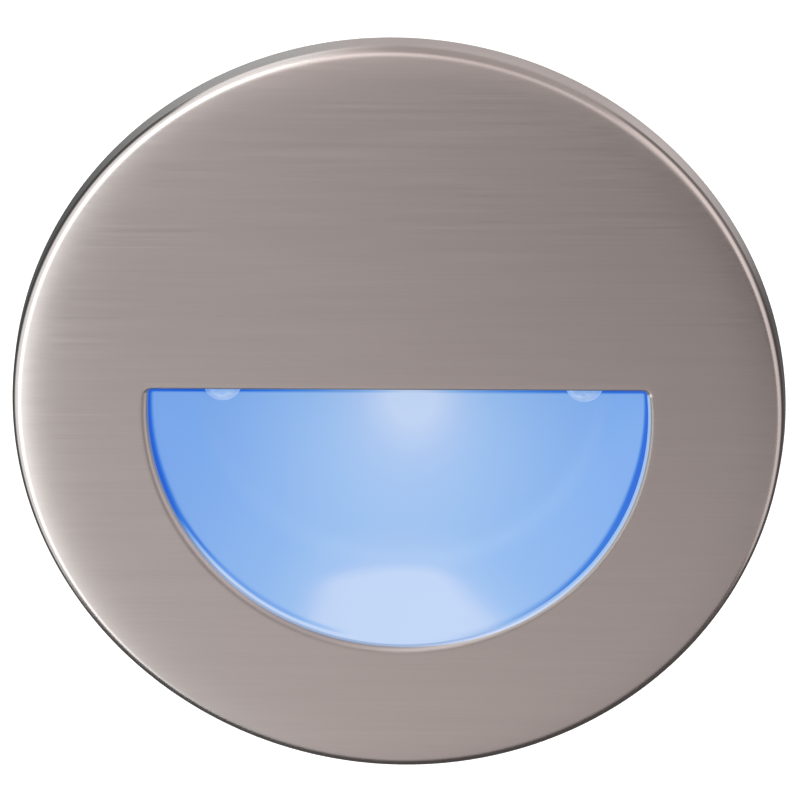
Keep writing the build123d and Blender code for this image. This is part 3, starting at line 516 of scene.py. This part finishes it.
def powder_coat():
    """Grey powder coat: orange peel over a cast can."""
    finish = Finish("powder_coat")
    peel = finish.noise(0.9, detail=2.0)
    dust = finish.noise(0.16)
    return finish.surface(
        Base_Color=finish.shade((0.078, 0.082, 0.088), 0.86 + 0.22 * dust + 0.1 * finish.noise(18.0)),
        Roughness=0.42 + 0.16 * dust,
        Normal=finish.relief(peel + 0.4 * dust, 0.035),
    )


def insulator_film():
    """Amber polyester film, faintly rippled."""
    finish = Finish("insulator_film")
    ripple = finish.noise(6.0)
    return finish.surface(
        Base_Color=finish.shade((0.6, 0.57, 0.4), 0.94 + 0.1 * ripple),
        Roughness=0.2 + 0.12 * ripple,
        Normal=finish.relief(ripple, 0.05),
    )


def green_board():
    """Green solder mask over tracks, with the weave of the glass cloth under it."""
    finish = Finish("green_board")
    weave = finish.x.wave(0.8) * finish.z.wave(0.8)
    tracks = (finish.x + 2.5 * finish.z.wave(14.0)).wave(2.6).step(0.2, 0.4)
    return finish.surface(
        Base_Color=finish.mix(tracks, (0.006, 0.075, 0.02), (0.015, 0.13, 0.04)),
        Roughness=0.32 + 0.05 * weave,
        Normal=finish.relief(tracks + 0.1 * weave, 0.03),
    )


def sintered_ferrite():
    """Dark grey ferrite, ground flat."""
    return moulded("sintered_ferrite", (0.03, 0.03, 0.033), 0.6)


def winding_tape():
    """Yellow tape in turns round the coil."""
    finish = Finish("winding_tape")
    turns = finish.z.wave(1.4)
    return finish.surface(
        Base_Color=finish.shade((0.72, 0.45, 0.03), 0.93 + 0.07 * turns),
        Roughness=0.3 + 0.06 * turns,
        Normal=finish.relief(turns, 0.04),
    )


def capacitor_sleeve():
    """Shrunk plastic sleeve, dark blue."""
    return moulded("capacitor_sleeve", (0.006, 0.012, 0.03), 0.22)


def chip_epoxy():
    """Black moulded epoxy."""
    return moulded("chip_epoxy", (0.012, 0.012, 0.013), 0.55)


def fuse_ceramic():
    """Buff ceramic fuse tube."""
    return moulded("fuse_ceramic", (0.57, 0.51, 0.4), 0.5)


def block_nylon():
    """Milky nylon of the terminal block."""
    return moulded("block_nylon", (0.64, 0.64, 0.58), 0.4, {"Subsurface_Weight": 0.2})


def machined_brass():
    """Brass with turning marks."""
    finish = Finish("machined_brass")
    turning = finish.noise(0.1, stretch=(1, 1, 12))
    return finish.surface(
        Base_Color=finish.shade((0.62, 0.4, 0.12), 0.88 + 0.2 * turning),
        Metallic=1.0,
        Roughness=0.22 + 0.16 * turning,
        Normal=finish.relief(turning, 0.004),
    )


def lead_black():
    """Black lead."""
    return insulation("lead_black", (0.012, 0.012, 0.013))


def lead_white():
    """White lead."""
    return insulation("lead_white", (0.7, 0.7, 0.67))


def lead_green():
    """Green earth lead."""
    return insulation("lead_green", (0.01, 0.14, 0.02))


def lead_red():
    """Red lamp lead."""
    return insulation("lead_red", (0.4, 0.008, 0.006))


def gland_nylon():
    """Black glass-filled nylon of the cable gland."""
    return moulded("gland_nylon", (0.018, 0.018, 0.019), 0.48)


SLOT_FINISHES = {
    "plate_metal": brushed_nickel(),
    "stud_steel": stud_steel(),
    "foam": closed_cell_foam(),
    "seal_rubber": seal_rubber(),
    "bowl_white": painted_light_bowl(),
    "screw_steel": screw_steel(),
    "window_frosted": frosted_window(),
    "lamp_board_white": white_solder_mask(),
    "led_body": led_ceramic(),
    "led_silicone": diode_silicone(),
    "thermal_pad": thermal_pad(),
    "sink_aluminium": extruded_aluminium(),
    "plug_white": plug_nylon(),
    "can_paint": powder_coat(),
    "insulator_film": insulator_film(),
    "board_green": green_board(),
    "ferrite": sintered_ferrite(),
    "winding_tape": winding_tape(),
    "capacitor_sleeve": capacitor_sleeve(),
    "chip_black": chip_epoxy(),
    "fuse_body": fuse_ceramic(),
    "block_plastic": block_nylon(),
    "brass": machined_brass(),
    "lead_black": lead_black(),
    "lead_white": lead_white(),
    "lead_green": lead_green(),
    "lead_red": lead_red(),
    "gland_plastic": gland_nylon(),
}

# nodes with painted light in their finish, unlike the rest of their slot
NODE_FINISHES = {"trim_screws": painted_light_screw()}

# ---------------------------------------------------------------- CAD nodes get their finishes

for part in frame["record"]["subparts"]:
    for material_slot in NODES[part["node"]].material_slots:
        material_slot.material = NODE_FINISHES.get(part["node"], SLOT_FINISHES[part["material_slot"]])

# ---------------------------------------------------------------- pieces: shared making

SHARP_ANGLE = radians(40)


def rings_mesh(name, rings):
    """Mesh through rings of equally many points, each joined to the next and the last to the first."""
    count = len(rings[0])
    points = [point for ring in rings for point in ring]
    faces = []
    for i in range(len(rings)):
        here = i * count
        there = (i + 1) % len(rings) * count
        for j in range(count):
            following = (j + 1) % count
            faces.append((here + j, here + following, there + following, there + j))
    mesh = bpy.data.meshes.new(name)
    mesh.from_pydata(points, [], faces)
    mesh.validate()
    return mesh


def add_piece(name, mesh, slot, node):
    """The mesh as a smooth piece of the light: it takes its slot's finish and stands for its node."""
    piece = bpy.data.objects.new(name, mesh)
    bpy.context.scene.collection.objects.link(piece)
    mesh.materials.append(SLOT_FINISHES[slot])
    mesh.polygons.foreach_set("use_smooth", [True] * len(mesh.polygons))
    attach(piece, "root")
    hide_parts(node)
    return piece


def keep_flat_faces(piece):
    """Flat faces keep straight normals, and edges sharper than the limit stay crisp."""
    piece.data.set_sharp_from_angle(angle=SHARP_ANGLE)
    weighted = piece.modifiers.new("flat_faces", "WEIGHTED_NORMAL")
    weighted.keep_sharp = True


# ---------------------------------------------------------------- face plate

CORNER_SPAN = radians(4.0)  # angle at the plate's centre that each corner of the opening takes up
CORNER_STEPS = 10
CHORD_STEPS = 220
ARC_STEPS = 400
LIP_STEPS = 8
STRIP_STEPS = 3
FACE_STEPS = 24
FACE_SPACING = 1.5  # above 1 the face's rings lie closer towards its edge
EDGE_STEPS = 8
SIDE_STEPS = 4


def opening_outline():
    """The opening's edge anticlockwise from its right end: place, outward direction and angle faced."""
    reach = OPENING_RADIUS - OPENING_CORNER
    corner_z = OPENING_TOP - OPENING_CORNER
    corner_x = sqrt(reach ** 2 - (corner_z + OPENING_DROP) ** 2)
    low = atan2(corner_z + OPENING_DROP, corner_x)
    facing = atan2(corner_z, corner_x)
    high = facing + CORNER_SPAN
    outline = []

    def corner(centre_x, first_turn, first_angle):
        """A corner's rounding, over the same turn at either end of the straight edge."""
        for step in range(CORNER_STEPS):
            share = step / CORNER_STEPS
            turn = first_turn + (pi / 2 - low) * share
            outward = (cos(turn), sin(turn))
            place = (centre_x + OPENING_CORNER * outward[0], corner_z + OPENING_CORNER * outward[1])
            outline.append((place, outward, first_angle + CORNER_SPAN * share))

    corner(corner_x, low, facing)
    for step in range(CHORD_STEPS):
        share = step / CHORD_STEPS
        place = (corner_x * (1 - 2 * share), OPENING_TOP)
        outline.append((place, (0, 1), high + (pi - 2 * high) * share))
    corner(-corner_x, pi / 2, pi - high)
    for step in range(ARC_STEPS):
        share = step / ARC_STEPS
        turn = pi - low + (pi + 2 * low) * share
        place = (OPENING_RADIUS * cos(turn), OPENING_RADIUS * sin(turn) - OPENING_DROP)
        outline.append((place, (cos(turn), sin(turn)), pi - facing + (pi + 2 * facing) * share))
    return outline


def face_depth(radius):
    """Depth of the face at this radius: level inside, and falling away a little towards the edge."""
    share = max(0.0, (radius - CROWN_START) / (FLAT_END - CROWN_START))
    return FACE_Y + CROWN * share ** CROWN_POWER


def between(first, second, share):
    """The value that lies this share of the way from the first to the second."""
    return first + (second - first) * share


def plate_sections():
    """Rings of the plate, from the opening's rear edge over the face and the rim to the rear of the skin."""
    outline = opening_outline()
    skin_rear = FACE_Y + SKIN
    edge = PLATE_RADIUS - DRAFT
    slope = atan2(DRAFT, RIM_REAR_Y - FACE_Y)
    rings = []

    def lip(turn):
        """Ring on the lip's rounding, which is finer along the straight edge."""
        ring = []
        for (x, z), (nx, nz), _ in outline:
            radius = LIP_RADIUS * (1 - LIP_CUT * max(0.0, nz))
            outward = radius * (1 - cos(turn))
            ring.append((x + outward * nx, FACE_Y + radius * (1 - sin(turn)), z + outward * nz))
        rings.append(ring)

    def circle(radius, depth):
        """Ring round the plate's centre."""
        rings.append([(radius * cos(turn), depth, radius * sin(turn)) for _, _, turn in outline])

    def spread(beside, radius, depth, shares):
        """Rings on a flat face, at these shares of the way from beside the opening to the radius."""
        for share in shares:
            ring = []
            for (x, z), (nx, nz), turn in outline:
                near_x, near_z = x + beside * nx, z + beside * nz
                ring_x = between(near_x, radius * cos(turn), share)
                ring.append((ring_x, depth, between(near_z, radius * sin(turn), share)))
            rings.append(ring)

    rings.append([(x, skin_rear, z) for (x, z), _, _ in outline])
    for step in range(LIP_STEPS + 1):
        lip(pi / 2 * step / LIP_STEPS)
    spread(LIP_RADIUS + MARGIN, CROWN_START, FACE_Y, [step / STRIP_STEPS for step in range(STRIP_STEPS)])
    for step in range(FACE_STEPS + 1):
        radius = FLAT_END - (FLAT_END - CROWN_START) * (1 - step / FACE_STEPS) ** FACE_SPACING
        circle(radius, face_depth(radius))
    rounding_y = FACE_Y + CROWN + EDGE_RADIUS
    for step in range(1, EDGE_STEPS + 1):
        turn = (pi / 2 - slope) * step / EDGE_STEPS
        circle(FLAT_END + EDGE_RADIUS * sin(turn), rounding_y - EDGE_RADIUS * cos(turn))
    side_radius = FLAT_END + EDGE_RADIUS * cos(slope)
    side_y = rounding_y - EDGE_RADIUS * sin(slope)
    for step in range(1, SIDE_STEPS + 1):
        share = step / SIDE_STEPS
        circle(between(side_radius, PLATE_RADIUS, share), between(side_y, RIM_REAR_Y, share))
    circle(PLATE_RADIUS - SKIN, RIM_REAR_Y)
    circle(edge - SKIN, skin_rear)
    spread(MARGIN, edge - SKIN, skin_rear, (0.5, 0.0))
    return rings


plate = add_piece("brushed_plate", rings_mesh("brushed_plate", plate_sections()), "plate_metal", "face_plate")
keep_flat_faces(plate)

# ---------------------------------------------------------------- camera, as the photograph was taken

TURN = radians(3.63)
TILT = radians(21.61)
ROLL = radians(-1.07)
DISTANCE = 6.0
FRAME_PIXELS = 800
PIXELS_PER_METRE = 6093.0
CENTRE_POINT = Vector((0, RIM_REAR_Y, 0))
CENTRE_PIXEL = (399.3, 398.3)


def add_camera():
    """Far camera to the right of and above the light's axis, turned a little clockwise."""
    toward = Vector((sin(TURN) * cos(TILT), -cos(TURN) * cos(TILT), sin(TILT)))
    level_right = Vector((0, 0, 1)).cross(toward).normalized()
    level_up = toward.cross(level_right)
    right = level_right * cos(ROLL) + level_up * sin(ROLL)
    up = toward.cross(right)
    beside = (FRAME_PIXELS / 2 - CENTRE_PIXEL[0]) / PIXELS_PER_METRE
    above = (CENTRE_PIXEL[1] - FRAME_PIXELS / 2) / PIXELS_PER_METRE
    aim = CENTRE_POINT + right * beside + up * above
    data = bpy.data.cameras.new("camera")
    data.lens = PIXELS_PER_METRE * DISTANCE * data.sensor_width / FRAME_PIXELS
    data.clip_start = 0.1
    data.clip_end = 50
    camera = bpy.data.objects.new("camera", data)
    turned = Matrix((right, up, toward)).transposed().to_4x4()
    camera.matrix_world = Matrix.Translation(aim + toward * DISTANCE) @ turned
    bpy.context.scene.collection.objects.link(camera)
    bpy.context.scene.camera = camera


add_camera()

# ---------------------------------------------------------------- studio

FLOOR_Z = -0.32
FLOOR_SIZE = 8.0
SHEET_CORNERS = ((-1, -1), (1, -1), (1, 1), (-1, 1))
PLATE_CENTRE = (0, 0, 0)

# six cards make a closed tent round the light
TENT_WIDTH = 0.64
TENT_HEIGHT = 0.62
TENT_FRONT_Y = -0.26
TENT_REAR_Y = 0.4
TENT_DEPTH = TENT_REAR_Y - TENT_FRONT_Y
TENT_CENTRE = (0, (TENT_FRONT_Y + TENT_REAR_Y) / 2, 0)
COOL_WHITE = (0.93, 1.03, 1.04)


def add_world():
    """White backdrop for the rays that show it, and a softer level for the light it gives."""
    world = bpy.data.worlds.new("studio")
    world.use_nodes = True
    bpy.context.scene.world = world
    nodes = Nodes(world.node_tree)
    level = 0.5 + 0.5 * nodes.ray_seen()
    background = nodes.node("ShaderNodeBackground", {}, {"Color": (1, 1, 1), "Strength": level})
    nodes.node("ShaderNodeOutputWorld", {}, {"Surface": background.outputs[0]})


def add_lamp(name, place, aim, width, height, watts):
    """Softbox at a place, facing its aim."""
    data = bpy.data.lights.new(name, "AREA")
    data.shape = "RECTANGLE"
    data.size = width
    data.size_y = height
    data.energy = watts
    lamp = bpy.data.objects.new(name, data)
    lamp.location = place
    lamp.rotation_euler = (Vector(aim) - Vector(place)).to_track_quat("-Z", "Y").to_euler()
    bpy.context.scene.collection.objects.link(lamp)
    return lamp


def add_sheet(name, place, aim, width, height):
    """Level-edged sheet at a place, facing its aim, with its corners in the row frame."""
    facing = (Vector(aim) - Vector(place)).normalized()
    upright = Vector((0, 0, 1)) if abs(facing.z) < 0.9 else Vector((0, 1, 0))
    right = upright.cross(facing).normalized() * width / 2
    up = facing.cross(right).normalized() * height / 2
    mesh = bpy.data.meshes.new(name)
    corners = [Vector(place) + right * across + up * high for across, high in SHEET_CORNERS]
    mesh.from_pydata(corners, [], [(0, 1, 2, 3)])
    sheet = bpy.data.objects.new(name, mesh)
    bpy.context.scene.collection.objects.link(sheet)
    return sheet


def add_floor():
    """White paper far below the light. It is lifted to white for the rays that show it."""
    finish = Finish("floor_paper")
    lift = 0.45 * finish.ray_seen()
    floor = add_sheet("floor", (0, 0, FLOOR_Z), PLATE_CENTRE, FLOOR_SIZE, FLOOR_SIZE)
    floor.data.materials.append(
        finish.surface(
            Base_Color=finish.shade((0.84, 0.84, 0.84), 0.98 + 0.04 * finish.noise(3.0)),
            Roughness=0.9,
            Specular_IOR_Level=0.0,
            Emission_Color=finish.shade((1, 1, 1), lift),
            Emission_Strength=1.0,
        )
    )


def add_card(name, place, aim, width, height, grade):
    """Card that only shiny faces mirror. Its level of light is worked out over it by the grade."""
    finish = Finish(name)
    tint = finish.mix(finish.x.step(-45, -115), (1, 1, 1), COOL_WHITE)
    card = add_sheet(name, place, aim, width, height)
    card.data.materials.append(
        finish.surface(
            Base_Color=(0, 0, 0),
            Roughness=1.0,
            Specular_IOR_Level=0.0,
            Emission_Color=finish.shade(tint, grade(finish)),
            Emission_Strength=1.0,
        )
    )
    card.visible_camera = False
    card.visible_diffuse = False
    card.visible_shadow = False
    card.visible_transmission = False


def front_grade(finish):
    """Bright beyond the left, and falling away to the right and most of all to the upper right."""
    across = finish.x.step(-100, 50)
    left_edge = 3.3 * finish.x.step(-108, -165)
    lower_left = 0.62 * finish.x.bell(-74, 32) * finish.z.bell(-98, 44)
    level = 1.33 - 0.74 * finish.z.bell(-44, 38) + (left_edge - lower_left)
    level = level - across * (0.4 + 0.14 * finish.z.step(-150, -80)) - 0.1 * finish.x.step(40, 90)
    return level + 0.8 * finish.z.step(60, 120)


def left_grade(finish):
    """Bright towards the front and dark towards the back."""
    return 0.15 + 1.9 * finish.y.step(60, -60)


def right_grade(finish):
    """Bright towards the front and dark towards the back, above all low down."""
    return 0.15 + 0.25 * finish.z.step(-20, 60) + 1.3 * finish.y.step(60, -60)


def top_grade(finish):
    """Bright, and most of all to the left."""
    return 0.85 + 1.3 * finish.x.step(0, -150)


def rear_grade(finish):
    """Dark low down and paler upwards, with a soft pale patch at the right."""
    patch = finish.x.step(120, 200) * finish.z.step(-100, -20) * finish.z.step(190, 90)
    return 0.14 + 0.75 * finish.z.step(-70, 220) + 0.5 * patch


def lower_grade(finish):
    """Nearly black all over, and faintly mottled."""
    return 0.15 * (0.96 + 0.08 * finish.noise(60.0))


add_world()
add_floor()
add_lamp("key_softbox", (-0.9, -1.3, 1.1), PLATE_CENTRE, 1.1, 0.9, 17)
add_lamp("fill_softbox", (1.3, -0.9, 0.5), PLATE_CENTRE, 0.8, 0.8, 6)
add_lamp("rear_softbox", (0.3, 1.4, 0.9), PLATE_CENTRE, 0.9, 0.9, 10)

side_y = TENT_CENTRE[1]
add_card("front_card", (0, TENT_FRONT_Y, 0), PLATE_CENTRE, TENT_WIDTH, TENT_HEIGHT, front_grade)
add_card("left_card", (-TENT_WIDTH / 2, side_y, 0), TENT_CENTRE, TENT_DEPTH, TENT_HEIGHT, left_grade)
add_card("right_card", (TENT_WIDTH / 2, side_y, 0), TENT_CENTRE, TENT_DEPTH, TENT_HEIGHT, right_grade)
add_card("top_card", (0, side_y, TENT_HEIGHT / 2), TENT_CENTRE, TENT_WIDTH, TENT_DEPTH, top_grade)
add_card("rear_card", (0, TENT_REAR_Y, 0), PLATE_CENTRE, TENT_WIDTH, TENT_HEIGHT, rear_grade)
add_card("lower_card", (0, side_y, -TENT_HEIGHT / 2), TENT_CENTRE, TENT_WIDTH, TENT_DEPTH, lower_grade)

# ---------------------------------------------------------------- view settings

bpy.context.scene.view_settings.view_transform = "Standard"
